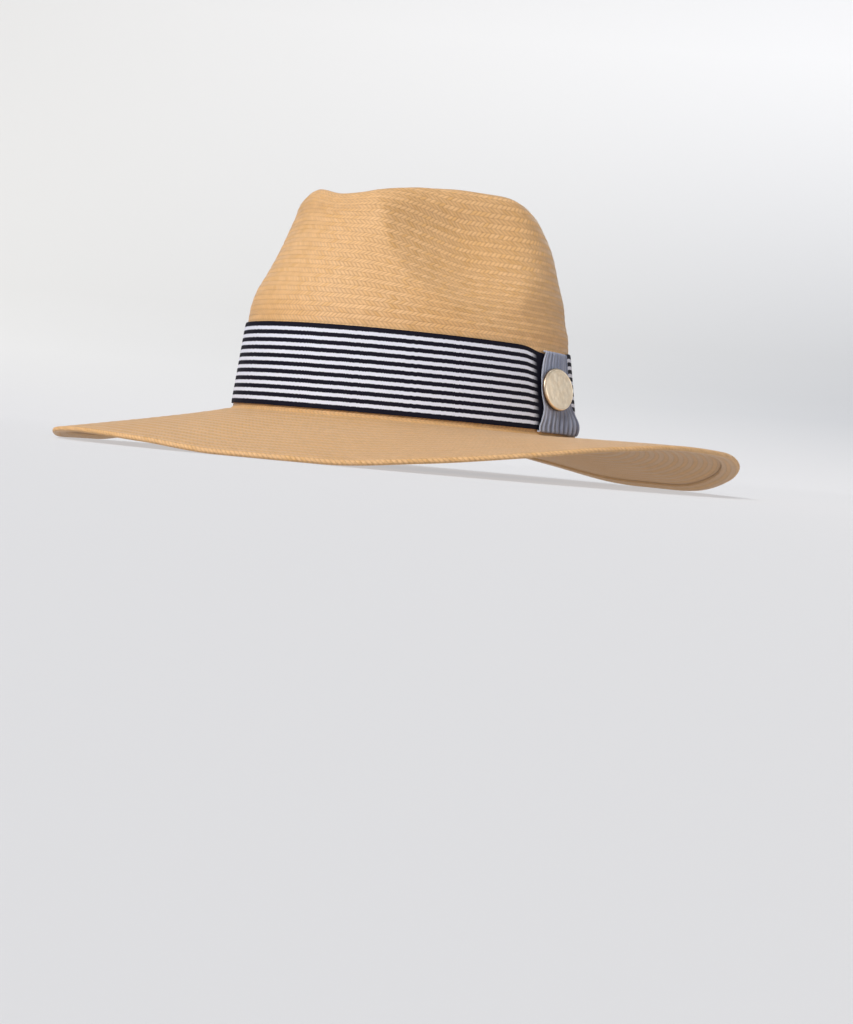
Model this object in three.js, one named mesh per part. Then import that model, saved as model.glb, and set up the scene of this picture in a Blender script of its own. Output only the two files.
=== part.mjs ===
// Straw fedora: woven body with pinched teardrop crown and wide brim, striped hatband, keeper, badge.
// Millimetres, +Z up. The front of the hat faces -Y and the wearer's left side is +X.
// The hat stands on the lowest parts of its brim edge, which lie at z = 0.
import * as THREE from "three";

// ---- driving sizes ----------------------------------------------------------------------------
const STRAW = 1.2; // one layer of the weave
const BRIM_LINE = 24.6; // height of the brim's top face where it meets the crown
const FOOT_CURVE = 3.5; // outward run of the soft bend between crown and brim
const FOOT_DROP = 0.9; // how far the top face has dropped at the end of that bend
const BRIM_FRONT_BACK = 192.5; // half length of the brim outline
const BRIM_SIDE = 177; // half width of the brim outline
const BRIM_SAG = 0.92; // 1 is a straight brim section; less drops it sooner on its way out
const HEM = 10; // edge folded under and stitched
const SEAT = 3.2; // level strip under the very edge of the hem
const BAND_LOW = 2.2; // lower edge of the hatband above the brim line
const BAND_HEIGHT = 43.6;
const RIBBON = 1.0; // thickness of the ribbon
const GAP = 0.3; // space kept between neighbouring pieces
const FRONT_EASE = 0.06; // roundness of the pinch's front crease, as a share of its depth
const REAR_EASE = 0.4; // the same of its rear one
const KEEPER_AT = 119.5; // bearing of the keeper, towards the wearer's left
const KEEPER_WIDE = 10.5; // half of its extent in bearing, degrees
const BADGE_AT = 117.7; // bearing of the badge
const BADGE_WIDE = 28.5;
const BADGE_TALL = 22.9;
const BADGE_THICK = 2.6;
const BADGE_UP = 22.1; // centre of the badge above the band's lower edge
const BADGE_LEAN = 4; // the badge's rear side stands a little off the wall, degrees
const BADGE_LIFT = 0.2; // keeps its leaning side clear of the keeper
const PINCH_TURN = 40; // degrees behind the pinch's middle in which one roundness turns to the other
const AROUND = 66; // steps around the head
const CREST_ROWS = { first: 7, last: 12 }; // rows of the crown table that are followed more closely
const BRIM_RINGS = [0, 0.15, 0.32, 0.5, 0.68]; // shares of the way out over the brim
const EDGE_START = 0.992; // share of that way where the rounded edge starts
const EDGE_ROUND = 0.8; // inset of the edge's lowest line
const KEEPER_STEPS = 12;
const BADGE_STEPS = 28;

// Crown sections from the foot to the centre of the top: height above the brim line, reach to the
// front, to the back and to the side of the crown axis, depth of the side pinch, its bearing from
// the front and half its width in degrees, and the share of the crest's own rise and fall that the
// section follows.
const CROWN = [
  { rise: 0.6, front: 97.8, back: 100.5, side: 85.0, pinch: 0, at: 92, half: 20, crest: 0 },
  { rise: 47.5, front: 94.1, back: 92.2, side: 77.4, pinch: 0, at: 92, half: 20, crest: 0 },
  { rise: 55, front: 93.4, back: 91.3, side: 76.7, pinch: 0.8, at: 92, half: 18, crest: 0 },
  { rise: 63.5, front: 90.9, back: 88.9, side: 74.7, pinch: 3.2, at: 88, half: 15, crest: 0 },
  { rise: 73, front: 85.8, back: 87.1, side: 72.9, pinch: 8.2, at: 83, half: 22.5, crest: 0 },
  { rise: 85, front: 80.4, back: 83.4, side: 69.5, pinch: 13.5, at: 82, half: 31, crest: 0 },
  { rise: 97, front: 75.5, back: 79.3, side: 65.9, pinch: 17, at: 82, half: 36, crest: 0.1 },
  { rise: 107, front: 72.4, back: 74.2, side: 61.6, pinch: 16.5, at: 81.5, half: 37, crest: 0.35 },
  { rise: 114, front: 71.8, back: 67.2, side: 57.6, pinch: 14, at: 81, half: 37, crest: 0.75 },
  { rise: 119, front: 70, back: 59.8, side: 52.6, pinch: 11.5, at: 79, half: 37, crest: 1 },
  { rise: 121.3, front: 66, back: 53.8, side: 47.2, pinch: 9.5, at: 79, half: 37, crest: 1 },
  { rise: 119.5, front: 60.5, back: 48.5, side: 41.5, pinch: 7.5, at: 79, half: 37, crest: 1 },
  { rise: 112.5, front: 53.5, back: 43.5, side: 35.5, pinch: 5.5, at: 79, half: 37, crest: 0.8 },
  { rise: 105, front: 46.5, back: 36.0, side: 28.5, pinch: 3, at: 79, half: 37, crest: 0.5 },
  { rise: 101.5, front: 36.0, back: 26.0, side: 19.5, pinch: 1, at: 79, half: 37, crest: 0.2 },
  { rise: 103, front: 18.0, back: 15.0, side: 10.0, pinch: 0, at: 79, half: 37, crest: 0 },
];
const CROWN_CENTRE = 104; // height of the middle of the top above the brim line

// Height of the brim edge above the standing surface, by bearing from the front.
const EDGE = [
  { bearing: 0, rise: 4.2 },
  { bearing: 18, rise: 2.6 },
  { bearing: 32, rise: 0 },
  { bearing: 48, rise: 0 },
  { bearing: 62, rise: 4.2 },
  { bearing: 77, rise: 11 },
  { bearing: 92, rise: 18 },
  { bearing: 108, rise: 21.7 },
  { bearing: 122, rise: 21 },
  { bearing: 137, rise: 16 },
  { bearing: 152, rise: 8.2 },
  { bearing: 168, rise: 0.8 },
  { bearing: 174, rise: 0 },
  { bearing: 180, rise: 0 },
];

// How far the crest of the crown stands above its mean height, by bearing from the front.
const CREST = [
  { bearing: 0, rise: -1.8 },
  { bearing: 20, rise: -4.6 },
  { bearing: 32, rise: -3.4 },
  { bearing: 42, rise: -1.4 },
  { bearing: 60, rise: 2.2 },
  { bearing: 75, rise: 4 },
  { bearing: 92, rise: 5 },
  { bearing: 120, rise: 5 },
  { bearing: 180, rise: 4 },
];

// Badge section over the raised rim to the back, as shares of its outline and of its thickness.
const BADGE_SECTION = [
  { reach: 0.45, lift: 0.8 },
  { reach: 0.8, lift: 0.74 },
  { reach: 0.86, lift: 0.78 },
  { reach: 0.9, lift: 1 },
  { reach: 0.95, lift: 1 },
  { reach: 1, lift: 0.75 },
  { reach: 1, lift: 0.25 },
  { reach: 0.96, lift: 0 },
];
const BADGE_MIDDLE = 0.82; // height of the middle of its face, as a share of its thickness

// ---- helpers ----------------------------------------------------------------------------------
const rad = (d) => (d * Math.PI) / 180;
const mix = (a, b, k) => a + (b - a) * k;
const fold = (bearing) => Math.abs(((((bearing + 180) % 360) + 360) % 360) - 180);

// A smooth curve from start to end, with the slopes leave and arrive; k runs from 0 to 1.
function curve(k, start, leave, end, arrive) {
  const near = (2 * k ** 3 - 3 * k ** 2 + 1) * start + (k ** 3 - 2 * k ** 2 + k) * leave;
  return near + (3 * k ** 2 - 2 * k ** 3) * end + (k ** 3 - k ** 2) * arrive;
}

// A table's rise at a bearing: eased between the rows, level wherever the table turns.
function riseAt(table, bearing) {
  const b = fold(bearing);
  const last = table.length - 1;
  const steep = (k) => (table[k + 1].rise - table[k].rise) / (table[k + 1].bearing - table[k].bearing);
  const slope = (k) => {
    if (k === 0 || k === last || steep(k - 1) * steep(k) <= 0) return 0;
    return (2 * steep(k - 1) * steep(k)) / (steep(k - 1) + steep(k));
  };
  let i = 0;
  while (i < last - 1 && b > table[i + 1].bearing) i += 1;
  const run = table[i + 1].bearing - table[i].bearing;
  const k = (b - table[i].bearing) / run;
  return curve(k, table[i].rise, run * slope(i), table[i + 1].rise, run * slope(i + 1));
}

// How far a section is pressed in at a bearing: the pinch lays a flat panel across its side.
function pinchAt(row, bearing) {
  const off = rad(fold(bearing) - row.at);
  const flat = Math.cos(rad(row.half));
  const panel = (row.pinch * (Math.cos(off) - flat)) / (1 - flat);
  const k = Math.min(1, Math.max(0, off / rad(PINCH_TURN)));
  const ease = mix(FRONT_EASE, REAR_EASE, k * k * (3 - 2 * k));
  return (panel + Math.hypot(panel, ease * row.pinch)) / 2;
}

// A point of a crown section; out moves it square to the section.
function crownPoint(row, bearing, out = 0) {
  const c = Math.cos(rad(bearing));
  const s = Math.sin(rad(bearing));
  const along = c > 0 ? row.front : row.back;
  const nx = s / row.side;
  const ny = -c / along;
  const size = Math.hypot(nx, ny) || 1;
  const shift = out - pinchAt(row, bearing);
  const x = row.side * s + (nx / size) * shift;
  const y = -along * c + (ny / size) * shift;
  return new THREE.Vector3(x, y, BRIM_LINE + row.rise + row.crest * riseAt(CREST, bearing));
}

// The section between two rows of the table, on a smooth curve through the rows.
function crownRow(at) {
  const last = CROWN.length - 1;
  const i = Math.min(last - 1, Math.floor(at));
  const k = at - i;
  const a = CROWN[Math.max(0, i - 1)];
  const b = CROWN[i];
  const c = CROWN[i + 1];
  const d = CROWN[Math.min(last, i + 2)];
  const row = {};
  for (const name of Object.keys(b)) {
    if (i === 0) {
      row[name] = mix(b[name], c[name], k);
      continue;
    }
    const leave = i === 1 ? c[name] - b[name] : (c[name] - a[name]) / 2;
    const arrive = (d[name] - b[name]) / 2;
    row[name] = curve(k, b[name], leave, c[name], arrive);
  }
  return row;
}

// A point on the brim's top face; share runs from 0 at the crown to 1 at the edge.
function brimPoint(share, bearing) {
  const c = Math.cos(rad(bearing));
  const s = Math.sin(rad(bearing));
  const foot = crownPoint(CROWN[0], bearing, FOOT_CURVE);
  const x = mix(foot.x, BRIM_SIDE * s, share);
  const y = mix(foot.y, -BRIM_FRONT_BACK * c, share);
  const edge = riseAt(EDGE, bearing) + 2 * STRAW;
  return new THREE.Vector3(x, y, mix(BRIM_LINE - FOOT_DROP, edge, share ** BRIM_SAG));
}

// Closed skin over rings of points listed from one pole to the other.
function skin(first, rings, last) {
  const n = rings[0].length;
  const spots = [first, ...rings.flat(), last];
  const at = (r, c) => 1 + r * n + (((c % n) + n) % n);
  const faces = [];
  for (let c = 0; c < n; c += 1) faces.push(0, at(0, c), at(0, c + 1));
  for (let r = 0; r < rings.length - 1; r += 1) {
    for (let c = 0; c < n; c += 1) {
      faces.push(at(r, c), at(r + 1, c), at(r + 1, c + 1));
      faces.push(at(r, c), at(r + 1, c + 1), at(r, c + 1));
    }
  }
  const tail = spots.length - 1;
  for (let c = 0; c < n; c += 1) faces.push(tail, at(rings.length - 1, c + 1), at(rings.length - 1, c));
  return geometry(spots, faces);
}

function geometry(spots, faces) {
  const g = new THREE.BufferGeometry();
  const flat = spots.flatMap((p) => [p.x, p.y, p.z]);
  g.setAttribute("position", new THREE.Float32BufferAttribute(flat, 3));
  g.setIndex(faces);
  g.computeVertexNormals();
  return g;
}

// Closed section carried from step to step. A closed loop joins up; an open one gets end walls.
function swept(sections, outline) {
  const n = sections[0].length;
  const m = sections.length;
  const faces = [];
  for (let i = 0; i < (outline ? m - 1 : m); i += 1) {
    const a = i * n;
    const b = ((i + 1) % m) * n;
    for (let k = 0; k < n; k += 1) {
      const l = (k + 1) % n;
      faces.push(a + k, b + k, b + l);
      faces.push(a + k, b + l, a + l);
    }
  }
  if (outline) {
    const end = (m - 1) * n;
    for (const [a, b, c] of THREE.ShapeUtils.triangulateShape(outline, [])) {
      const turned = THREE.ShapeUtils.area([outline[a], outline[b], outline[c]]) < 0;
      const [p, q] = turned ? [c, b] : [b, c];
      faces.push(a, p, q);
      faces.push(end + a, end + q, end + p);
    }
  }
  return geometry(sections.flat(), faces);
}

function piece(name, shape, colour, roughness, metalness = 0) {
  const material = new THREE.MeshStandardMaterial({ color: colour, roughness, metalness });
  const mesh = new THREE.Mesh(shape, material);
  mesh.name = name;
  return mesh;
}

const bearings = Array.from({ length: AROUND }, (_, i) => (i * 360) / AROUND);

// ---- woven body: crown, brim and the hem folded under it ----------------------------------------
function strawBody() {
  // Rows of the outer face from the middle of the top to the brim's edge.
  const steps = [];
  const last = CROWN.length - 1;
  for (let i = last; i > 1; i -= 1) {
    steps.push(i);
    if (i >= CREST_ROWS.first && i <= CREST_ROWS.last) steps.push(i - 0.5);
  }
  steps.push(1, 0.5, 0);
  const outer = steps.map((at) => {
    const row = crownRow(at);
    return bearings.map((b) => crownPoint(row, b));
  });
  const bend = { out: 0.9, drop: 0.3 };
  outer.push(bearings.map((b) => crownPoint(CROWN[0], b, bend.out).setZ(BRIM_LINE - bend.drop)));
  const hemShare = 1 - HEM / (BRIM_SIDE - CROWN[0].side - FOOT_CURVE);
  for (const share of [...BRIM_RINGS, hemShare]) {
    outer.push(bearings.map((b) => brimPoint(share, b)));
  }

  // Normals of the outer face, for the inner face one layer behind it.
  const top = new THREE.Vector3(0, 0, BRIM_LINE + CROWN_CENTRE);
  const inner = outer.map((ring, r) =>
    ring.map((p, c) => {
      const n = ring.length;
      const side = ring[(c + 1) % n].clone().sub(ring[(c + n - 1) % n]);
      const before = r === 0 ? top : outer[r - 1][c];
      const after = outer[Math.min(r + 1, outer.length - 1)][c];
      const down = after.clone().sub(before);
      const out = down.cross(side).normalize();
      return p.clone().addScaledVector(out, -STRAW);
    }),
  );

  const edgeTop = bearings.map((b) => brimPoint(EDGE_START, b));
  const rim = (inset, rise) =>
    bearings.map((b) => {
      const s = Math.sin(rad(b));
      const c = Math.cos(rad(b));
      const x = (BRIM_SIDE - inset) * s;
      const y = -(BRIM_FRONT_BACK - inset) * c;
      return new THREE.Vector3(x, y, riseAt(EDGE, b) + rise);
    });
  const hemInner = outer.at(-1).map((p) => new THREE.Vector3(p.x, p.y, p.z - 2 * STRAW));
  const rings = [
    ...outer,
    edgeTop,
    rim(0, STRAW),
    rim(EDGE_ROUND, 0),
    rim(EDGE_ROUND + SEAT, 0),
    hemInner,
    ...inner.reverse(),
  ];
  const topInside = new THREE.Vector3(0, 0, top.z - STRAW);
  return skin(top, rings, topInside);
}

// ---- ribbon pieces --------------------------------------------------------------------------------
// A point beside the crown wall where the hatband runs, at a height above the band's lower edge.
function besideWall(bearing, height, out) {
  const row = crownRow((BAND_LOW + height - CROWN[0].rise) / (CROWN[1].rise - CROWN[0].rise));
  return crownPoint(row, bearing, out);
}

function hatband() {
  const near = GAP;
  const far = GAP + RIBBON;
  const sections = bearings.map((b) => [
    besideWall(b, 0, near),
    besideWall(b, 0, far),
    besideWall(b, BAND_HEIGHT, far),
    besideWall(b, BAND_HEIGHT, near),
  ]);
  return swept(sections);
}

// The keeper lies over the band and is turned in over both of its edges.
function keeper() {
  const inside = 2 * GAP + RIBBON;
  const outside = inside + RIBBON;
  const over = RIBBON + GAP;
  const outline = [
    new THREE.Vector2(outside, -over),
    new THREE.Vector2(outside, BAND_HEIGHT + over),
    new THREE.Vector2(GAP, BAND_HEIGHT + over),
    new THREE.Vector2(GAP, BAND_HEIGHT + GAP),
    new THREE.Vector2(inside, BAND_HEIGHT + GAP),
    new THREE.Vector2(inside, -GAP),
    new THREE.Vector2(GAP, -GAP),
    new THREE.Vector2(GAP, -over),
  ];
  const sections = [];
  for (let i = 0; i <= KEEPER_STEPS; i += 1) {
    const b = KEEPER_AT + mix(-KEEPER_WIDE, KEEPER_WIDE, i / KEEPER_STEPS);
    sections.push(outline.map((p) => besideWall(b, p.y, p.x)));
  }
  return swept(sections, outline);
}

// Oval badge with a raised rim. It leans a little from the keeper behind it.
function badge() {
  const away = 3 * GAP + 2 * RIBBON + BADGE_LIFT;
  const centre = besideWall(BADGE_AT, BADGE_UP, away);
  const along = besideWall(BADGE_AT + 1, BADGE_UP, away).sub(besideWall(BADGE_AT - 1, BADGE_UP, away));
  const up = besideWall(BADGE_AT, BADGE_UP + 1, away).sub(besideWall(BADGE_AT, BADGE_UP - 1, away));
  const tangent = along.normalize();
  const square = tangent.clone().cross(up).normalize();
  const v = square.clone().cross(tangent);
  const u = tangent.clone().applyAxisAngle(v, rad(-BADGE_LEAN));
  const out = square.clone().applyAxisAngle(v, rad(-BADGE_LEAN));
  const at = (reach, lift, angle) =>
    centre
      .clone()
      .addScaledVector(u, (reach * BADGE_WIDE * Math.cos(angle)) / 2)
      .addScaledVector(v, (reach * BADGE_TALL * Math.sin(angle)) / 2)
      .addScaledVector(out, lift * BADGE_THICK);
  const turns = Array.from({ length: BADGE_STEPS }, (_, i) => (i * 2 * Math.PI) / BADGE_STEPS);
  const rings = BADGE_SECTION.map(({ reach, lift }) => turns.map((a) => at(reach, lift, a)));
  return skin(at(0, BADGE_MIDDLE, 0), rings, at(0, 0, 0));
}

// ---- the hat ------------------------------------------------------------------------------------
const hat = new THREE.Group();
hat.add(piece("straw_body", strawBody(), 0xd9b283, 0.75));
hat.add(piece("hatband", hatband(), 0x8f90a6, 0.7));
hat.add(piece("keeper", keeper(), 0x8f94ab, 0.7));
hat.add(piece("badge", badge(), 0xe0c9a0, 0.3, 1));

export default hat;
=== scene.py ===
"""Straw fedora with a pinched crown, a wide brim, a striped hatband, a keeper and an oval badge.

Sizes in the tables and settings are millimetres, as a hatter would give them. The front of the hat
faces -Y, the wearer's left side is +X, and the brim's lowest edge stands at z = 0.
"""
import math

import bpy
import numpy as np
from bpy.props import FloatProperty, FloatVectorProperty, IntProperty, PointerProperty
from mathutils import Matrix, Vector


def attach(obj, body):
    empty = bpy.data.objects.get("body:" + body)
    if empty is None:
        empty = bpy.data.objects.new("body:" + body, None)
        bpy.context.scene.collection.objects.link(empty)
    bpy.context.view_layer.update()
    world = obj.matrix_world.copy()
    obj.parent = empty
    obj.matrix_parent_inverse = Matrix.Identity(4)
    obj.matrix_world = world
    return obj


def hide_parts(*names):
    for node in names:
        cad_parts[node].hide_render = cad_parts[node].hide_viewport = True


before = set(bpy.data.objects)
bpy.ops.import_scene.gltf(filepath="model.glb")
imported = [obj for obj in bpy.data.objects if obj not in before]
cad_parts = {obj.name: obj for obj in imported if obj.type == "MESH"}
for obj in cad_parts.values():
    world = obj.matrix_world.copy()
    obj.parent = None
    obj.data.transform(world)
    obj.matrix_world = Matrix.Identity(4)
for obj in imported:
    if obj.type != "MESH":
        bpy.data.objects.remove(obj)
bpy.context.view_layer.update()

bl_info = {
    "name": "Straw Fedora",
    "version": (1, 0, 0),
    "blender": (4, 5, 0),
    "location": "View3D > Sidebar > Fedora",
    "description": "Weaves a straw fedora and trims it with a striped hatband, keeper and badge",
    "category": "Add Mesh",
}

MM = 0.001

# ---- the hat's form ------------------------------------------------------------------------------
STRAW = 1.2  # one layer of the weave
BRIM_LINE = 24.6  # height of the brim's top face at the crown
FOOT_CURVE = 3.5  # outward run of the soft bend between crown and brim
FOOT_DROP = 0.9  # how far the top face has dropped at the end of that bend
FOOT_BEND = 0.6  # depth below the brim line of the point that shapes the bend
BRIM_FRONT_BACK = 192.5  # half length of the brim
BRIM_SIDE = 177.0  # half width of the brim
BRIM_SAG = 0.92  # 1 is a straight brim section; less drops it sooner on its way out
HEM = 10.0  # edge folded under
SEAT = 4.0  # inset from the edge to which the hem lies level
HEM_EASE = 5.0  # further inset over which it rises to the brim above it
BAND_LOW = 2.2  # lower edge of the hatband above the brim line
BAND_HEIGHT = 43.6
BAND_FACE = 1.2  # outer face of the hatband, measured from the crown
KEEPER_AT = 119.5  # bearing of the keeper, towards the wearer's left
KEEPER_HALF = 10.5  # half of its extent in bearing, degrees
KEEPER_FACE = 2.4  # its outer face, measured from the crown
BADGE_AT = 117.7  # bearing of the badge
BADGE_UP = 22.1  # its centre above the hatband's lower edge
BADGE_WIDE = 28.5
BADGE_TALL = 22.9
BADGE_BACK = 3.1  # its back, measured from the crown
BADGE_THICK = 2.6
BADGE_LEAN = 4.0  # its rear side stands a little off the wall, degrees
FRONT_EASE = 0.06  # roundness of the pinch's front crease, as a share of its depth
REAR_EASE = 0.4  # the same of its rear one
PINCH_TURN = 40.0  # degrees behind the pinch's middle in which one roundness turns to the other
COURSE_DIP = 13.0  # how far the woven courses sink behind the front crease of the pinch
COURSE_NOSE = 2.0  # how far they stand up at the very front
CROWN_CENTRE = 104.0  # height of the middle of the top above the brim line

# Crown sections: rise, reach to the front, back and side; depth, bearing and half width of the
# side pinch; share of the crest.
CROWN = np.array(
    [
        # rise, front, back, side, pinch, at, half, crest
        (0.6, 97.8, 100.5, 85.0, 0, 92, 20, 0),
        (47.5, 94.1, 92.2, 77.4, 0, 92, 20, 0),
        (55, 93.4, 91.3, 76.7, 0.8, 92, 18, 0),
        (63.5, 90.9, 88.9, 74.7, 3.2, 88, 15, 0),
        (73, 85.8, 87.1, 72.9, 8.2, 83, 22.5, 0),
        (85, 80.4, 83.4, 69.5, 13.5, 82, 31, 0),
        (97, 75.5, 79.3, 65.9, 17, 82, 36, 0.1),
        (107, 72.4, 74.2, 61.6, 16.5, 81.5, 37, 0.35),
        (114, 71.8, 67.2, 57.6, 14, 81, 37, 0.75),
        (119, 70.0, 59.8, 52.6, 11.5, 79, 37, 1),
        (121.3, 66.0, 53.8, 47.2, 9.5, 79, 37, 1),
        (119.5, 60.5, 48.5, 41.5, 7.5, 79, 37, 1),
        (112.5, 53.5, 43.5, 35.5, 5.5, 79, 37, 0.8),
        (105, 46.5, 36.0, 28.5, 3, 79, 37, 0.5),
        (101.5, 36.0, 26.0, 19.5, 1, 79, 37, 0.2),
        (103, 18.0, 15.0, 10.0, 0, 79, 37, 0),
    ],
    float,
)
RISE, SIDE = 0, 3  # columns of the table
FOOT_ROW, WALL_ROW = CROWN[:2]  # the hatband lies on the wall between these two

# Height of the brim's edge by bearing from the front.
EDGE = [
    (0, 4.2), (18, 2.6), (32, 0), (48, 0), (62, 4.2), (77, 11), (92, 18),
    (108, 21.7), (122, 21), (137, 16), (152, 8.2), (168, 0.8), (174, 0), (180, 0),
]

# How far the crest of the crown stands above its mean height, by bearing.
CREST = [
    (0, -1.8), (20, -4.6), (32, -3.4), (42, -1.4), (60, 2.2), (75, 4), (92, 5), (120, 5), (180, 4),
]


def mix(a, b, share):
    """a at 0, b at 1."""
    return a + (b - a) * share


def smooth(low, high, value):
    """0 below low, 1 above high, eased between them."""
    k = np.clip((value - low) / (high - low), 0, 1)
    return k * k * (3 - 2 * k)


def near(value, middle, reach):
    """1 at the middle, fading on both sides of it."""
    return np.exp(-(((value - middle) / reach) ** 2))


def curve(k, start, leave, end, arrive):
    """A smooth curve from start to end, with the slopes leave and arrive; k runs from 0 to 1."""
    first = (2 * k**3 - 3 * k**2 + 1) * start + (k**3 - 2 * k**2 + k) * leave
    return first + (3 * k**2 - 2 * k**3) * end + (k**3 - k**2) * arrive


def arc_length(places):
    """Running length down a stack of rings of points, averaged round them."""
    gaps = np.linalg.norm(np.diff(places, axis=0), axis=2).mean(1)
    return np.concatenate([[0], np.cumsum(gaps)])


def folded(bearing):
    """Bearing counted either way from the front."""
    return np.abs((np.asarray(bearing, float) + 180) % 360 - 180)


def eased(table, bearing):
    """A table's rise at each bearing, level wherever the table turns."""
    marks, rises = np.array(table, float).T
    steep = np.diff(rises) / np.diff(marks)
    both = steep[:-1] * steep[1:]
    slope = np.zeros(len(marks))
    turn = both > 0
    slope[1:-1][turn] = 2 * both[turn] / (steep[:-1] + steep[1:])[turn]
    b = folded(bearing)
    i = np.clip(np.searchsorted(marks, b) - 1, 0, len(marks) - 2)
    run = marks[i + 1] - marks[i]
    k = (b - marks[i]) / run
    return curve(k, rises[i], run * slope[i], rises[i + 1], run * slope[i + 1])


def crown_row(at):
    """The crown section between two rows of the table, on a smooth curve through the rows."""
    last = len(CROWN) - 1
    i = min(last - 1, int(math.floor(at)))
    k = at - i
    a, b, c, d = CROWN[max(0, i - 1)], CROWN[i], CROWN[i + 1], CROWN[min(last, i + 2)]
    if i == 0:
        return mix(b, c, k)
    return curve(k, b, c - b if i == 1 else (c - a) / 2, c, (d - b) / 2)


def crown_point(row, bearing, out=0.0):
    """Points of a crown section, or of a section each; out moves them square to it."""
    rise, front, back, side, pinch, at, half, crest = row
    turn = np.radians(bearing)
    c, s = np.cos(turn), np.sin(turn)
    along = np.where(c > 0, front, back)
    nx, ny = s / side, -c / along
    size = np.hypot(nx, ny)
    off = np.radians(folded(bearing) - at)
    flat = np.cos(np.radians(half))
    panel = pinch * (np.cos(off) - flat) / (1 - flat)
    ease = mix(FRONT_EASE, REAR_EASE, smooth(0, math.radians(PINCH_TURN), off))
    shift = out - (panel + np.hypot(panel, ease * pinch)) / 2
    x = side * s + nx / size * shift
    y = -along * c + ny / size * shift
    return np.stack([x, y, BRIM_LINE + rise + crest * eased(CREST, bearing)], -1)


def brim_point(share, bearing):
    """Points of the brim's top face, from 0 at the crown to 1 at the edge."""
    turn = np.radians(bearing)
    foot = crown_point(FOOT_ROW, bearing, FOOT_CURVE)
    x = mix(foot[..., 0], BRIM_SIDE * np.sin(turn), share)
    y = mix(foot[..., 1], -BRIM_FRONT_BACK * np.cos(turn), share)
    edge = eased(EDGE, bearing) + 2 * STRAW
    return np.stack([x, y, mix(BRIM_LINE - FOOT_DROP, edge, share**BRIM_SAG)], -1)


def beside_wall(bearing, height, out):
    """Points off the crown wall where the ribbon runs, height above the hatband's lower edge."""
    at = (BAND_LOW + height - FOOT_ROW[RISE]) / (WALL_ROW[RISE] - FOOT_ROW[RISE])
    rows = [mix(low, high, at) for low, high in zip(FOOT_ROW, WALL_ROW)]
    return crown_point(rows, bearing, out)


# The way out is counted in rows of the crown table from the middle of the top.
CROWN_FOOT = len(CROWN)
BRIM_START = CROWN_FOOT + 1.0
BRIM_END = BRIM_START + 1.0
BRIM_REACH = BRIM_SIDE - FOOT_ROW[SIDE] - FOOT_CURVE  # depth of the brim at the side


def outer_point(way, bearing):
    """Points of the outer face at a place on the way out."""
    if way <= 1:
        rim = crown_point(CROWN[-1], bearing)
        middle = BRIM_LINE + CROWN_CENTRE
        return np.stack([rim[:, 0] * way, rim[:, 1] * way, mix(middle, rim[:, 2], way * way)], -1)
    if way <= CROWN_FOOT:
        return crown_point(crown_row(CROWN_FOOT - way), bearing)
    if way <= BRIM_START:
        k = way - CROWN_FOOT
        p = crown_point(FOOT_ROW, bearing, FOOT_CURVE * k * k)
        drop = 2 * FOOT_BEND * k * (1 - k) + FOOT_DROP * k * k
        p[:, 2] = BRIM_LINE + FOOT_ROW[RISE] * (1 - k) ** 2 - drop
        return p
    return brim_point(way - BRIM_START, bearing)


def outer_normal(way, bearing):
    """Outward direction of the outer face, from points a small step either side."""
    step, turn = 0.02, 0.4
    mid = max(way, step)
    low, high = max(way - step, step / 5), min(mid + step, BRIM_END)
    down = outer_point(high, bearing) - outer_point(low, bearing)
    side = outer_point(mid, bearing + turn) - outer_point(mid, bearing - turn)
    out = np.cross(down, side)
    return out / np.linalg.norm(out, axis=1)[:, None]


class Skin:
    """The outer face sampled closely, to be read at any way out and column."""

    def __init__(self, columns, samples=1400):
        self.ways = np.linspace(0, BRIM_END, samples)
        bearing = np.arange(columns) / columns * 360
        self.places = np.array([outer_point(way, bearing) for way in self.ways])
        down = np.gradient(self.places, axis=0)
        down[0] = down[1]
        side = np.roll(self.places, -1, 1) - np.roll(self.places, 1, 1)
        side[0] = side[1]
        out = np.cross(down, side)
        self.normals = out / np.linalg.norm(out, axis=2)[:, :, None]
        self.length = arc_length(self.places)

    def bend(self, way, bearing):
        """Where the course at this way runs at each bearing: the pinch drags it down behind."""
        if way <= 1:
            rise = CROWN_CENTRE
        else:
            rise = crown_row(CROWN_FOOT - way)[RISE] if way < CROWN_FOOT else 0.0
        share = smooth(0, 4, way) * smooth(40, 100, rise)  # none in the middle and at the ribbon
        b = folded(bearing)
        dip = COURSE_DIP * smooth(35, 90, b) + COURSE_NOSE * smooth(0, 40, b)
        at = np.interp(way, self.ways, self.length) + share * dip
        return np.interp(at, self.length, self.ways)

    def read(self, way, column):
        """Places and outward directions at a way and whole column each."""
        at = np.clip(way / self.ways[1], 0, len(self.ways) - 1.001)
        low = at.astype(int)
        share = (at - low)[:, None]
        column = column.astype(int)
        places = mix(self.places[low, column], self.places[low + 1, column], share)
        return places, mix(self.normals[low, column], self.normals[low + 1, column], share)


# ---- modelling helpers ---------------------------------------------------------------------------
def fresh_start():
    """Object mode with nothing selected, and the cursor at the origin."""
    if bpy.context.mode != "OBJECT":
        bpy.ops.object.mode_set(mode="OBJECT")
    bpy.ops.object.select_all(action="DESELECT")
    bpy.context.scene.cursor.location = (0, 0, 0)


def choose(piece):
    bpy.context.view_layer.objects.active = piece
    piece.select_set(True)


def open_for_edit(piece, mode=(False, True, False)):
    """Edit mode on one piece, picking vertices, edges or faces."""
    choose(piece)
    bpy.context.tool_settings.mesh_select_mode = mode
    bpy.ops.object.mode_set(mode="EDIT")


def close_edit():
    bpy.ops.object.mode_set(mode="OBJECT")


def extrude_up(rise):
    bpy.ops.mesh.extrude_region_move(TRANSFORM_OT_translate={"value": (0, 0, rise)})


def named(name):
    """The piece that was just added, under a name of its own."""
    piece = bpy.context.object
    piece.name = piece.data.name = name
    return piece


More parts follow.
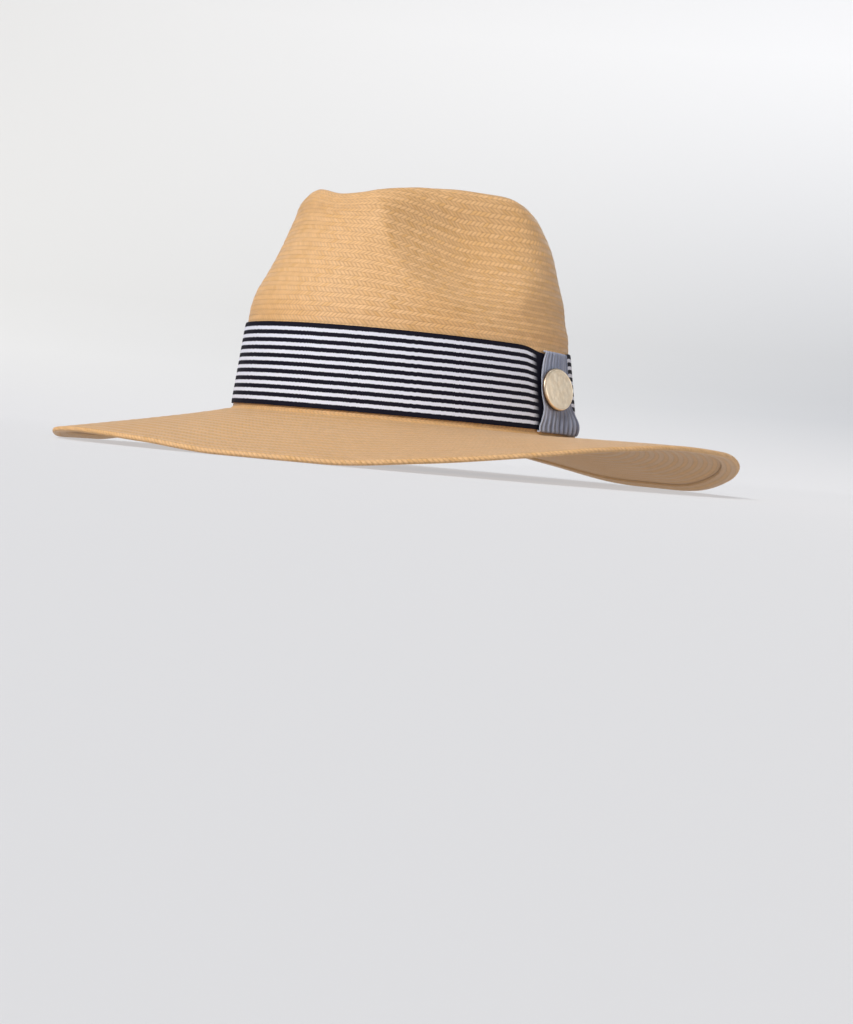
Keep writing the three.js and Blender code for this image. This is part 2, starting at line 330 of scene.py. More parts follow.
def fetch(items, name, width=1, kind=np.int32):
    """A property of all the items as a flat array, width numbers for each."""
    flat = np.empty(len(items) * width, kind)
    items.foreach_get(name, flat)
    return flat


def corners(mesh):
    """All the vertices' places as an array."""
    return fetch(mesh.vertices, "co", 3, np.float64).reshape(-1, 3)


def lay(mesh, places):
    """Moves each vertex to its place, given in metres."""
    mesh.vertices.foreach_set("co", np.ascontiguousarray(places, np.float32).ravel())
    mesh.update()


def edge_ends(mesh):
    """The two vertices of each edge."""
    return fetch(mesh.edges, "vertices", 2).reshape(-1, 2)


def pick(mesh, vertices=None, edges=None):
    """Selects only these vertices, or only these edges with their ends."""
    mesh.polygons.foreach_set("select", np.zeros(len(mesh.polygons), bool))
    on_edges = np.zeros(len(mesh.edges), bool) if edges is None else edges
    on_vertices = np.zeros(len(mesh.vertices), bool) if vertices is None else vertices.copy()
    if edges is not None:
        on_vertices[edge_ends(mesh)[edges].ravel()] = True
    mesh.edges.foreach_set("select", on_edges)
    mesh.vertices.foreach_set("select", on_vertices)


TUBE_SECTIONS = 3  # a long tube is extruded in so many steps


def tube(name, turns, rings, spacing, sections):
    """An upright open tube: a circle extruded down, its upright edges then cut into rings."""
    fresh_start()
    bpy.ops.mesh.primitive_circle_add(vertices=turns, radius=0.1, fill_type="NOTHING")
    piece = named(name)
    open_for_edit(piece)
    bpy.ops.mesh.select_all(action="SELECT")
    cuts = (rings - 1) // sections - 1
    drop = -(cuts + 1) * spacing
    for _ in range(sections):
        extrude_up(drop)
    close_edit()
    if cuts:
        mesh = piece.data
        heights = corners(mesh)[:, 2][edge_ends(mesh)]
        pick(mesh, edges=np.abs(heights[:, 0] - heights[:, 1]) > spacing / 2)
        open_for_edit(piece)
        bpy.ops.mesh.subdivide(number_cuts=cuts)
        close_edit()
    return piece


def tube_address(mesh, turns, spacing, steps=1):
    """Each vertex's ring and its share of the way round, counted in columns."""
    p = corners(mesh)
    ring = np.rint(-p[:, 2] / spacing).astype(int)
    angle = np.degrees(np.arctan2(p[:, 1], p[:, 0])) + 90
    column = np.rint((angle % 360) / 360 * turns * steps) / steps % turns
    return ring, column


def face_loops(mesh):
    """Vertex of each loop, and for each loop the face that it belongs to."""
    vertex = fetch(mesh.loops, "vertex_index")
    size = fetch(mesh.polygons, "loop_total")
    face = np.repeat(np.arange(len(size)), size)
    start = np.concatenate([[0], np.cumsum(size)[:-1]])
    return vertex, face, start


def closed_column(column, face, start, columns):
    """Share of the way round at each loop, below 0 and not near 1 on the face over the seam."""
    low = np.minimum.reduceat(column, start)[face]
    return np.where(column - low > columns / 2, column - columns, column) / columns


def paint_uv(mesh, u, v):
    """Writes the map that the finishes read, a pair for each loop."""
    layer = mesh.uv_layers.new(name="UVMap") if not mesh.uv_layers else mesh.uv_layers[0]
    layer.data.foreach_set("uv", np.stack([u, v], -1).astype(np.float32).ravel())


def face_out(piece):
    """Turns a closed shape's faces outwards, judged by the volume that they enclose."""
    mesh = piece.data
    mesh.calc_loop_triangles()
    tri = fetch(mesh.loop_triangles, "vertices", 3)
    a, b, c = corners(mesh)[tri.reshape(-1, 3)].transpose(1, 0, 2)
    if np.einsum("ij,ij->", a, np.cross(b, c)) < 0:
        mesh.flip_normals()


def turn_skin_out(piece):
    """Turns an open skin's faces away from the crown's axis."""
    total = sum(face.normal.xy.dot(face.center.xy) * face.area for face in piece.data.polygons)
    if total < 0:
        piece.data.flip_normals()


def thicken(piece, thickness):
    """Gives a cloth its thickness in millimetres, inwards from the face that it has."""
    fresh_start()
    choose(piece)
    solid = piece.modifiers.new("Thickness", "SOLIDIFY")
    solid.thickness = thickness * MM
    solid.offset = -1
    solid.use_even_offset = False
    bpy.ops.object.modifier_apply(modifier=solid.name)


def soften(piece, angle=None):
    """Smooth shading, up to an angle in degrees where one is given."""
    fresh_start()
    choose(piece)
    if angle is None:
        bpy.ops.object.shade_smooth()
    else:
        bpy.ops.object.shade_smooth_by_angle(angle=math.radians(angle))


# ---- finishes ------------------------------------------------------------------------------------
class Finish:
    """A material and short ways to add nodes to it."""

    def __init__(self, name):
        self.material = bpy.data.materials.new(name)
        self.material.use_nodes = True
        self.tree = self.material.node_tree
        self.shader = self.tree.nodes["Principled BSDF"]

    def feed(self, socket, value):
        """Links a node's output to a socket, or sets a plain value on it."""
        if isinstance(value, bpy.types.NodeSocket):
            self.tree.links.new(value, socket)
        else:
            socket.default_value = value

    def add(self, kind, values=None, **settings):
        node = self.tree.nodes.new("ShaderNode" + kind)
        for name, value in settings.items():
            setattr(node, name, value)
        for slot, value in (values or {}).items():
            self.feed(node.inputs[slot], value)
        return node

    def math(self, operation, *values):
        return self.add("Math", dict(enumerate(values)), operation=operation).outputs[0]

    def times(self, first, *others):
        for other in others:
            first = self.math("MULTIPLY", first, other)
        return first

    def bow(self, share, peak=1.0):
        """An arch over a share: nothing at 0 and 1, the peak in the middle."""
        return self.times(share, self.math("SUBTRACT", 1.0, share), 4.0 * peak)

    def strips(self, value, count):
        """A value cut into strips: the strip's number and the share of the way across it."""
        value = self.times(value, float(count))
        return self.math("FLOOR", value), self.math("FRACT", value)

    def chance(self, number):
        """A random share for each whole number."""
        return self.add("TexWhiteNoise", {"W": number}, noise_dimensions="1D").outputs["Value"]

    def shaded(self, colour, light):
        """A colour made darker or lighter by a number."""
        grey = self.add("CombineColor", {0: light, 1: light, 2: light}).outputs[0]
        return self.blend(1.0, colour, grey, "MULTIPLY")

    def blend(self, share, a, b, how="MIX"):
        node = self.add("Mix", {0: share, 6: a, 7: b}, data_type="RGBA", blend_type=how)
        return node.outputs[2]

    def span(self, value, low, high, to_low, to_high, how="LINEAR"):
        ends = {"From Min": low, "From Max": high, "To Min": to_low, "To Max": to_high}
        node = self.add("MapRange", {"Value": value, **ends}, interpolation_type=how)
        return node.outputs[0]

    def noise(self, where, scale, detail, roughness):
        values = {"Vector": where, "Scale": scale, "Detail": detail, "Roughness": roughness}
        return self.add("TexNoise", values).outputs["Fac"]

    def object_place(self):
        return self.add("TexCoord").outputs["Object"]

    def uv(self):
        parts = self.add("SeparateXYZ", {0: self.add("UVMap", uv_map="UVMap").outputs[0]})
        return parts.outputs[0], parts.outputs[1]

    def relief(self, height, depth):
        """Raised and sunk places, their depth in millimetres."""
        values = {"Height": height, "Distance": depth * MM, "Strength": 1.0}
        return self.add("Bump", values).outputs[0]

    def surface(self, **values):
        names = {
            "colour": "Base Color",
            "roughness": "Roughness",
            "metallic": "Metallic",
            "normal": "Normal",
            "specular": "Specular IOR Level",
            "sheen": "Sheen Weight",
            "sheen_roughness": "Sheen Roughness",
            "glow": "Emission Color",
            "glow_strength": "Emission Strength",
        }
        for name, value in values.items():
            self.feed(self.shader.inputs[names[name]], value)
        return self.material


def tone(colour):
    return (*colour, 1.0)


BLACK = (0.0, 0.0, 0.0, 1.0)


def straw_finish(s):
    """Slanted strands laid side by side in rows, leaning one way in a row and back in the next."""
    f = Finish("natural straw")
    x, y = f.uv()
    row, rise = f.strips(y, 1)
    parity = f.math("FLOORED_MODULO", row, 2.0)
    lean = f.math("SUBTRACT", 1.0, f.times(parity, 2.0))
    shift = f.times(f.math("SUBTRACT", rise, 0.5), s.slant)
    strand, across = f.strips(f.math("ADD", x, f.times(lean, shift)), 1)
    body = f.times(f.math("POWER", f.bow(across), 0.6), f.math("POWER", f.bow(rise), 0.3))
    tilt = f.times(f.math("SUBTRACT", across, 0.5), lean, s.lap)
    height = f.math("ADD", f.times(body, 0.7), tilt)

    name = f.add("CombineXYZ", {0: strand, 1: row, 2: 0.0}).outputs[0]
    chance = f.add("TexWhiteNoise", {"Vector": name}, noise_dimensions="3D").outputs["Value"]
    ramp = f.add("ValToRGB", {"Fac": chance})
    stops = ramp.color_ramp.elements
    stops[0].color, stops[1].color = tone(s.dark_strand), tone(s.pale_strand)
    for position in (0.35, 0.75):
        stops.new(position).color = tone(s.colour)

    where = f.object_place()
    ripe = f.span(f.noise(where, 22.0, 3.0, 0.55), 0.35, 0.7, 0.0, 0.55)
    colour = f.blend(ripe, ramp.outputs[0], tone(s.warm_patch))
    mottle = f.span(f.noise(where, 260.0, 2.0, 0.6), 0.3, 0.7, 0.94, 1.05)
    deep = f.span(body, 0.0, 0.85, s.gap_shade, 1.02)
    row_shade = f.math("SUBTRACT", 1.0, f.times(parity, s.row_contrast))
    colour = f.shaded(colour, f.times(mottle, deep, row_shade))
    fibre = f.times(f.noise(where, 900.0, 2.0, 0.6), 0.15)
    return f.surface(
        colour=colour,
        roughness=f.span(chance, 0.0, 1.0, 0.5, 0.66),
        specular=0.35,
        normal=f.relief(f.math("ADD", height, fibre), s.strand_relief),
        sheen=0.3,
        sheen_roughness=0.18,
    )


def light_stripes(f, s, x, y):
    """1 on the light stripes of the ribbon and 0 on its dark ones, fading to 0 before the keeper as
    painted shade.
    """
    pale = 1 - s.dark_share
    pairs = s.light_stripes - s.dark_share
    cord = f.strips(x, s.cords)[0]
    wander = f.times(f.math("SUBTRACT", f.chance(cord), 0.5), 0.05)
    at = f.times(f.math("SUBTRACT", y, s.border), pairs / (1 - 2 * s.border))
    at = f.math("MINIMUM", f.math("MAXIMUM", at, -s.dark_share / 2), pairs + s.dark_share / 2)
    at = f.math("FRACT", f.math("ADD", f.math("ADD", at, wander), s.dark_share / 2))
    off = f.math("ABSOLUTE", f.math("SUBTRACT", at, (s.dark_share + pale) / 2))
    stripe = f.span(off, pale / 2 - 0.03, pale / 2 + 0.03, 1.0, 0.0)
    tuck = (KEEPER_AT - KEEPER_HALF + 0.4) / 360
    # painted shade: the light stripes darken over the fold's width just before the keeper
    before = f.span(x, tuck - s.fold / 360, tuck, 1.0, 0.0, "SMOOTHSTEP")
    beyond = f.math("GREATER_THAN", x, KEEPER_AT / 360)
    return f.times(stripe, f.math("MAXIMUM", before, beyond))


def stripe_finish(s):
    """Corded ribbon: level stripes woven over fine upright cords."""
    f = Finish("striped ribbon")
    x, y = f.uv()
    spot = f.noise(f.object_place(), 120.0, 3.0, 0.6)
    dark = f.blend(spot, tone(s.dark), tone(s.dark_worn))
    light = f.blend(spot, tone(s.light), tone(s.light_worn))
    colour = f.blend(light_stripes(f, s, x, y), dark, light)
    cord = f.bow(f.strips(x, s.cords)[1])
    weft = f.bow(f.strips(y, 105)[1], 0.3)
    return f.surface(
        # painted shade: the ribbon is darker between its cords
        colour=f.shaded(colour, f.span(cord, 0.0, 0.5, 0.86, 1.0)),
        roughness=f.span(spot, 0.3, 0.7, 0.62, 0.8),
        specular=0.1,
        normal=f.relief(f.math("ADD", cord, weft), 0.05),
    )


def keeper_finish(s):
    """Grey ribbon with fine upright yarns and a paler rolled selvedge, and painted shade between
    yarns and in creases.
    """
    f = Finish("keeper ribbon")
    x, y = f.uv()
    number, across = f.strips(x, s.yarns)
    yarn = f.bow(across)
    colour = f.blend(f.chance(number), tone(s.shade), tone(s.colour))
    colour = f.blend(f.span(x, 0.0, s.selvedge, 0.6, 0.0), colour, tone(s.pale))
    spot = f.span(f.noise(f.object_place(), 160.0, 3.0, 0.6), 0.3, 0.7, 0.9, 1.05)
    crease = f.add("Attribute", attribute_name="crease").outputs["Fac"]
    # painted shade: darker between the yarns and in the creases of the pleats
    light = f.times(f.span(yarn, 0.0, 0.6, 0.75, 1.0), spot, f.span(crease, 0.15, 0.9, 1.0, 0.45))
    weft = f.bow(f.strips(y, 120)[1], 0.375)
    return f.surface(
        colour=f.shaded(colour, light),
        roughness=0.7,
        specular=0.3,
        normal=f.relief(f.math("ADD", yarn, weft), 0.07),
        sheen=0.2,
        sheen_roughness=0.5,
    )


def gold_finish(s):
    """Pale brushed gilding, duller where it is handled, with painted shade down its side."""
    f = Finish("pale gold")
    where = f.object_place()
    haze = f.noise(where, 380.0, 3.0, 0.6)
    dull = f.span(f.noise(where, 260.0, 2.0, 0.5), 0.35, 0.65, 0.0, 1.0)
    face = f.blend(dull, tone(s.colour), tone(s.tarnish))
    # painted shade: the part of the badge's side towards its back takes the dark side colour
    lift = f.uv()[0]
    return f.surface(
        colour=f.blend(f.span(lift, 0.5, 0.85, 0.0, 1.0), tone(s.side), face),
        metallic=0.8,
        roughness=f.span(haze, 0.3, 0.7, s.roughness - 0.06, s.roughness + 0.08),
        normal=f.relief(haze, 0.05),
    )


def stage_finish(s):
    """Pale paper that glows of itself as painted light, with painted shade easing from the floor up
    and across.
    """
    f = Finish("pale paper")
    where = f.object_place()
    across = tuple(view_axes(s)[0])
    along = f.add("VectorMath", {0: where, 1: across}, operation="DOT_PRODUCT").outputs[1]
    height = f.add("SeparateXYZ", {0: where}).outputs[2]
    # painted shade: the paper's colour changes from left to right and with height
    right = f.span(along, -1.0, 1.0, 0.0, 1.0)
    sweep = f.blend(right, tone(s.sweep_left), tone(s.sweep_right))
    wall = f.blend(right, tone(s.wall_left), tone(s.wall_right))
    colour = f.blend(f.span(height, 0.0, 0.15, 0.0, 1.0), tone(s.floor_colour), sweep)
    colour = f.blend(f.span(height, 0.2, 1.1, 0.0, 1.0), colour, wall)
    # painted light: the paper glows of itself, more on the floor, lighting the hat from below
    glow = f.blend(f.span(height, 0.0, 0.3, 0.0, 1.0), tone(s.floor_glow), tone(s.wall_glow))
    # painted shade: the paper and its glow darken well to either side
    aside = f.span(f.math("ABSOLUTE", along), 1.1, 2.2, 0.0, s.side_shade)
    return f.surface(
        colour=f.blend(aside, colour, BLACK),
        roughness=0.9,
        specular=0.05,
        glow=f.blend(aside, glow, BLACK),
        glow_strength=1.0,
    )


# ---- settings ------------------------------------------------------------------------------------
def tint(name, description, default):
    return FloatVectorProperty(
        name=name, description=description, default=default, subtype="COLOR", min=0, max=1, size=3
    )


def number(name, description, default, **limits):
    return FloatProperty(name=name, description=description, default=default, **limits)


def count(name, description, default):
    return IntProperty(name=name, description=description, default=default)


class StrawSettings(bpy.types.PropertyGroup):
    row: number("Row height", "Height of one woven row, in millimetres", 2.75, min=1)
    strand: number(
        "Strand spacing", "Spacing of the strands along a row, in millimetres", 2.3, min=0.5
    )
    slant: number("Slant", "Strand spacings that a strand leans over one row", 1.15)
    columns: count("Columns", "Columns of faces round the hat", 288)
    row_relief: number("Row relief", "Depth of the groove between rows, in millimetres", 0.16)
    strand_relief: number("Strand relief", "Depth between strands, in millimetres", 0.22)
    scallop: number("Edge scallop", "Depth of the turned strands at the edge, in millimetres", 0.4)
    waver: number("Waver", "Unevenness of the hand blocking, in millimetres", 0.25)
    row_contrast: number("Row contrast", "Darkening of every second row", 0.02)
    gap_shade: number("Gap shade", "Brightness between strands", 0.74)
    lap: number("Lap", "How far each strand tips towards the one it laps", 0.95)
    colour: tint("Straw", "Usual colour of a strand", (0.652, 0.394, 0.19))
    dark_strand: tint("Dark strand", "Colour of the darkest strands", (0.613, 0.355, 0.145))
    pale_strand: tint("Pale strand", "Colour of the palest strands", (0.687, 0.422, 0.21))
    warm_patch: tint("Warm patch", "Colour of riper patches", (0.637, 0.364, 0.15))


class HatbandSettings(bpy.types.PropertyGroup):
    light_stripes: count("Light stripes", "Light stripes between the dark ones", 10)
    dark_share: number("Dark share", "Share of a pair of stripes that is dark", 0.55)
    border: number("Border", "Share of the ribbon that each dark edge stripe takes", 0.058)
    cords: count("Cords", "Upright cords round the ribbon", 900)
    thickness: number("Thickness", "Ribbon thickness, in millimetres", 0.9)
    # fold is the width of the painted shade on the ribbon before the keeper
    fold: number("Fold", "Width of the dark tuck before the keeper, in degrees", 4.0)
    gather: number("Gather", "Share of its height that the ribbon loses under the keeper", 0.07)
    dark: tint("Dark stripe", "Colour of the dark stripes", (0.004, 0.004, 0.011))
    dark_worn: tint("Worn dark", "Dark stripes where worn", (0.007, 0.0065, 0.015))
    light: tint("Light stripe", "Colour of the light stripes", (0.695, 0.72, 0.835))
    light_worn: tint("Worn light", "Light stripes where worn", (0.62, 0.645, 0.745))


class KeeperSettings(bpy.types.PropertyGroup):
    folds: count("Folds", "Soft upright folds across the keeper", 9)
    yarns: count("Yarns", "Upright yarns across the keeper", 42)
    thickness: number("Thickness", "Cloth thickness, in millimetres", 0.7)
    selvedge: number("Selvedge", "Share of the width that the pale edge takes", 0.12)
    colour: tint("Cloth", "Colour of the paler yarns", (0.36, 0.40, 0.53))
    shade: tint("Dark yarn", "Colour of the darker yarns", (0.20, 0.23, 0.34))
    pale: tint("Selvedge", "Colour of the rolled edge", (0.55, 0.58, 0.68))


class BadgeSettings(bpy.types.PropertyGroup):
    turns: count("Turns", "Steps round the badge", 96)
    hammer: number("Hammering", "Depth of the hammered field, in millimetres", 0.2)
    roughness: number("Roughness", "Roughness of the metal", 0.38)
    colour: tint("Gold", "Colour of the metal", (0.97, 0.85, 0.67))
    tarnish: tint("Dull gold", "Colour where the metal is dull", (0.90, 0.76, 0.57))
    # the side's dark colour is painted shade, not a toning of the metal
    side: tint("Side", "Colour of the badge's side, toned dark", (0.15, 0.10, 0.07))


class StageSettings(bpy.types.PropertyGroup):
    floor_colour: tint("Floor", "Colour of the paper underfoot", (0.26, 0.254, 0.258))
    # the sweep and wall colours paint shade across the paper and up it
    sweep_left: tint("Sweep left", "Colour low on the backdrop, left", (0.34, 0.336, 0.33))
    sweep_right: tint("Sweep right", "Colour low on the backdrop, right", (0.15, 0.155, 0.17))
    wall_left: tint("Wall left", "Colour high on the backdrop, left", (0.42, 0.415, 0.41))
    wall_right: tint("Wall right", "Colour high on the backdrop, right", (0.445, 0.448, 0.465))
    # both glows are painted light: the paper glows of itself, with no lamp behind it
    floor_glow: tint("Floor glow", "Light let through underfoot", (0.465, 0.473, 0.49))
    wall_glow: tint("Backdrop glow", "Light let through elsewhere", (0.402, 0.406, 0.41))
    side_shade: number("Side shade", "Darkening of the paper well to either side", 0.45)
    key: number("Key light", "Strength of the broad light", 3.25)
    overhead: number("Overhead light", "Strength of the soft light from above", 0.75)
    under: number("Low light", "Power of the low light beside the brim", 1.6, unit="POWER")
    sky: number("Room light", "Strength of the even light", 0.15)
    lens: number("Lens", "Focal length", 63.28, unit="CAMERA")
    distance: number("Distance", "From the lens to the crown's axis", 1.0, unit="LENGTH")
    rise: number("Rise", "Height of the view above level, in degrees", 1.98)


# ---- straw body ----------------------------------------------------------------------------------
WAVES = 9  # waves of unevenness laid over each other
EDGE_TURNS = 432  # turned strands round the brim's edge
EDGE_CUTS = 5  # extra cuts in each column there
SPACING = 0.004  # between the rings of a tube before it is shaped, in metres
FOLD_ANGLES = (60, 30, 0, -30, -60, -90)  # round the edge, from above it to below it
HEM_RINGS = [  # (inset from the edge, depth below the brim's top face)
    (2.6, 2.4), (SEAT, 2.4), (6, 2.4), (8, 2.4), (9.5, 2.4), (HEM, 2.1), (HEM + 0.1, 1.35),
]
INNER_CLOSE = 1.4  # spacing of the inner rings in the bend between crown and brim
INNER_WIDE = 4.25  # their spacing in the crown
INNER_BEND = 6.0  # how far that bend reaches either way
INNER_LAST = 4.0  # how far from the middle of the top the last inner ring lies at most
HEM_CLEAR = 0.6  # how far inside the hem's edge the inner face starts
ROW_GROUP = 4  # rows that share a count of strands


def waver(way, bearing, depth):
    """Slight unevenness above the ribbon and on the brim, none where pieces touch."""
    draw = np.random.RandomState(11)
    turn = np.radians(bearing)
    total = np.zeros(len(turn))
    for _ in range(WAVES):
        round_waves, way_waves = draw.randint(2, 13), draw.uniform(0.5, 2.4)
        total += draw.uniform(0.4, 1.0) * np.sin(
            round_waves * turn + way_waves * way + draw.uniform(0, 2 * math.pi)
        )
    crown, brim = way - CROWN_FOOT, way - BRIM_START
    crown_part = smooth(0, 1, way) * (1 - smooth(-2.6, -2.0, crown))
    brim_part = smooth(0.15, 0.4, brim) * (1 - smooth(0.8, 0.95, brim))
    return depth * total / 3 * (crown_part + brim_part)


def inner_spots(hem, foot, pitch):
    """Running lengths of the inner rings, from the hem back to the middle of the top."""
    spots, at = [hem], math.floor(hem / pitch * 2 - 0.5) * pitch / 2
    while at > 0:
        spots.append(at)
        if at > foot + INNER_BEND:
            at -= pitch / 2
        else:
            at -= INNER_CLOSE if abs(at - foot) < INNER_BEND else INNER_WIDE
    spots[-1] = min(spots[-1], INNER_LAST)
    return spots + [0.0]


def weave_rings(s):
    """Rings of the cloth from the middle of the top, over the edge, to the middle inside.

    Each is (kind, place, row): the place is on the way out, or an angle or inset at the edge.
    """
    ways = np.linspace(0, BRIM_END - STRAW / BRIM_REACH, 1600)
    length = arc_length(np.array([outer_point(way, np.arange(0, 360, 15.0)) for way in ways]))
    rows = round(length[-1] / s.row)
    pitch = length[-1] / rows
    rings = [
        ("outer", np.interp(i * pitch / 2, length, ways), i / 2) for i in range(2 * rows + 1)
    ]
    for angle in FOLD_ANGLES:
        rings.append(("fold", angle, rows + math.radians(90 - angle) * STRAW / pitch))
    turned = rings[-1][2]
    for inset, drop in HEM_RINGS:
        rings.append(("hem", (inset, drop), turned + inset / pitch))
    hem = np.interp(BRIM_END - (HEM + HEM_CLEAR) / BRIM_REACH, ways, length)
    spots = inner_spots(hem, np.interp(CROWN_FOOT + 0.5, ways, length), pitch)
    while (len(rings) + len(spots) - 1) % TUBE_SECTIONS:
        spots.insert(len(spots) - 1, spots[-2] * 0.6)
    for spot in spots:
        rings.append(("inner", np.interp(spot, length, ways), spot / pitch))
    return rings


def row_groove(row, depth):
    """Depth of the groove between two rows, none in the middle of a row."""
    return depth * (0.5 + 0.5 * math.cos(math.pi * row))


def outer_ring(place, row, column, s, skin):
    """A ring on the outer face, sunk where two rows meet."""
    bearing = column / s.columns * 360
    p, normal = skin.read(skin.bend(place, bearing), np.rint(column))
    groove = -row_groove(row, s.row_relief)
    if CROWN_FOOT - 0.2 < place < BRIM_START + 0.02:
        groove *= 0.5
    return p + normal * (groove + waver(place, bearing, s.waver))[:, None]


def inner_ring(place, row, bearing, s):
    """A ring on the inner face, one layer behind the outer one."""
    groove = row_groove(row, s.row_relief) if place > BRIM_START + 0.05 else 0.0
    lift = waver(place, bearing, s.waver) - STRAW + groove
    return outer_point(place, bearing) + outer_normal(place, bearing) * lift[:, None]


def brim_above_edge(inset, bearing):
    """Height of the brim's top face over the edge's lowest line, at an inset from the edge."""
    return brim_point(1 - inset / BRIM_REACH, bearing)[:, 2] - eased(EDGE, bearing)


def fold_offset(degrees, bearing, s):
    """Inset and height of a ring round the edge, scalloped by the turned strands."""
    angle = math.radians(degrees)
    notch = 1 - np.abs(np.cos(np.radians(bearing) * EDGE_TURNS / 2)) ** 0.9
    inset = STRAW * (1 - math.cos(angle)) + s.scallop * notch * max(0.0, math.cos(angle))
    top = brim_above_edge(STRAW, bearing) - STRAW if degrees > 0 else STRAW
    height = STRAW + top * math.sin(angle)
    return inset, height - np.sign(degrees) * 0.3 * s.scallop * notch * abs(math.sin(2 * angle))


def hem_height(inset, drop, bearing):
    """Height of a ring of the hem: level at the very edge, then up to the brim above it."""
    if inset <= SEAT:
        return 0.0
    under = brim_above_edge(inset, bearing) - drop
    if inset > SEAT + HEM_EASE:
        return under
    return np.maximum(under * smooth(SEAT, SEAT + HEM_EASE, inset), 0)


def ring_points(ring, column, s, skin):
    """Where one ring of the cloth runs, in millimetres."""
    kind, place, row = ring
    bearing = column / s.columns * 360
    if kind == "outer":
        return outer_ring(place, row, column, s, skin)
    if kind == "inner":
        return inner_ring(place, row, bearing, s)
    if kind == "fold":
        inset, height = fold_offset(place, bearing, s)
    else:
        inset, height = place[0], hem_height(*place, bearing)
    turn = np.radians(bearing)
    x = (BRIM_SIDE - inset) * np.sin(turn)
    y = -(BRIM_FRONT_BACK - inset) * np.cos(turn)
    return np.stack([x, y, eased(EDGE, bearing) + height], -1)


def cut_edge_finer(piece, rings):
    """Adds columns where the cloth turns round the edge."""
    kinds = [ring[0] for ring in rings]
    first = kinds.index("fold")
    last = first + kinds.count("fold") - 1
    mesh = piece.data
    height = corners(mesh)[:, 2][edge_ends(mesh)]
    level = np.abs(height[:, 0] - height[:, 1]) < SPACING / 2
    number = np.rint(-height[:, 0] / SPACING)
    pick(mesh, edges=level & (number >= first) & (number <= last))
    open_for_edit(piece)
    bpy.ops.mesh.subdivide(number_cuts=EDGE_CUTS, ngon=False)
    close_edit()


def paint_strands(mesh, ring, column, rings, s):
    """Maps strands across and rows down: whole counts of strands, changed every few rows."""
    outer = [entry for entry in rings if entry[0] == "outer"]
    marks = np.array([entry[2] for entry in outer])
    girths = []
    for entry in outer:
        p = outer_point(max(entry[1], 0.02), np.arange(0, 360, 5.0))
        girths.append(np.linalg.norm(np.roll(p, -1, 0) - p, axis=1).sum())

    rows = np.array([entry[2] for entry in rings])
    vertex, face, start = face_loops(mesh)
    row = rows[ring[vertex]]
    middle = (np.minimum.reduceat(row, start) + np.maximum.reduceat(row, start)) / 2
    group = ((np.floor(middle / ROW_GROUP) + 0.5) * ROW_GROUP)[face]
    strands = np.maximum(6, np.rint(np.interp(group, marks, girths) / s.strand))
    paint_uv(mesh, closed_column(column[vertex], face, start, s.columns) * strands, row)


def build_straw(s):
    """Crown, brim and hem in one cloth: an upright tube, each ring laid where it runs."""
    rings = weave_rings(s)
    piece = tube("woven_body", s.columns, len(rings), SPACING, TUBE_SECTIONS)
    cut_edge_finer(piece, rings)
    mesh = piece.data
    ring, column = tube_address(mesh, s.columns, SPACING, EDGE_CUTS + 1)
    paint_strands(mesh, ring, column, rings, s)

    skin = Skin(s.columns)
    places = np.empty((len(mesh.vertices), 3))
    for number, entry in enumerate(rings):
        on_ring = ring == number
        places[on_ring] = ring_points(entry, column[on_ring], s, skin)
    lay(mesh, places * MM)
    pick(mesh, vertices=(ring == 0) | (ring == len(rings) - 1))
    open_for_edit(piece, (True, False, False))
    bpy.ops.mesh.remove_doubles(threshold=1e-6)
    close_edit()
    face_out(piece)
    soften(piece)
    piece.data.materials.append(straw_finish(s))
    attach(piece, "root")
    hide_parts("straw_body")


# ---- hatband -------------------------------------------------------------------------------------
BAND_COLUMNS = 300
RIBBON_CORE = 0.85  # share of the ribbon's thickness behind its swelling face
SWELL = 0.03  # how far each stripe stands out between its edges
ROLL = 0.18  # how far the ribbon's two edges roll in
ROLL_WIDE = 1.2
TUCK = 0.35  # how far it sinks in beside the keeper
TUCK_WIDE = 3.0  # degrees
GATHER_WIDE = 13.0  # half of the stretch gathered under the keeper, degrees


def build_hatband(s):
    """Ribbon round the foot of the crown, with rings along the edges of its stripes."""
    rings = 4 * s.light_stripes + 3
    piece = tube("striped_hatband", BAND_COLUMNS, rings, SPACING, sections=1)
    mesh = piece.data
    ring, column = tube_address(mesh, BAND_COLUMNS, SPACING)
    share = ring / (rings - 1)
    vertex, face, start = face_loops(mesh)
    paint_uv(mesh, closed_column(column[vertex], face, start, BAND_COLUMNS), 1 - share[vertex])

    bearing = column / BAND_COLUMNS * 360
    gather = s.gather * np.exp(-(((bearing - KEEPER_AT) / GATHER_WIDE) ** 4))
    height = BAND_HEIGHT * (1 - share) * (1 - gather)
    down = share * BAND_HEIGHT
    roll = ROLL * (near(down, 0, ROLL_WIDE) + near(down, BAND_HEIGHT, ROLL_WIDE))
    tuck = TUCK * near(bearing, KEEPER_AT - KEEPER_HALF, TUCK_WIDE)
    out = BAND_FACE + np.where(ring % 2 == 1, SWELL, 0.0) - roll - tuck
    lay(mesh, beside_wall(bearing, height, out) * MM)
    turn_skin_out(piece)
    thicken(piece, s.thickness * RIBBON_CORE)
    soften(piece, 50)
    piece.data.materials.append(stripe_finish(s))
    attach(piece, "root")
    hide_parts("hatband")


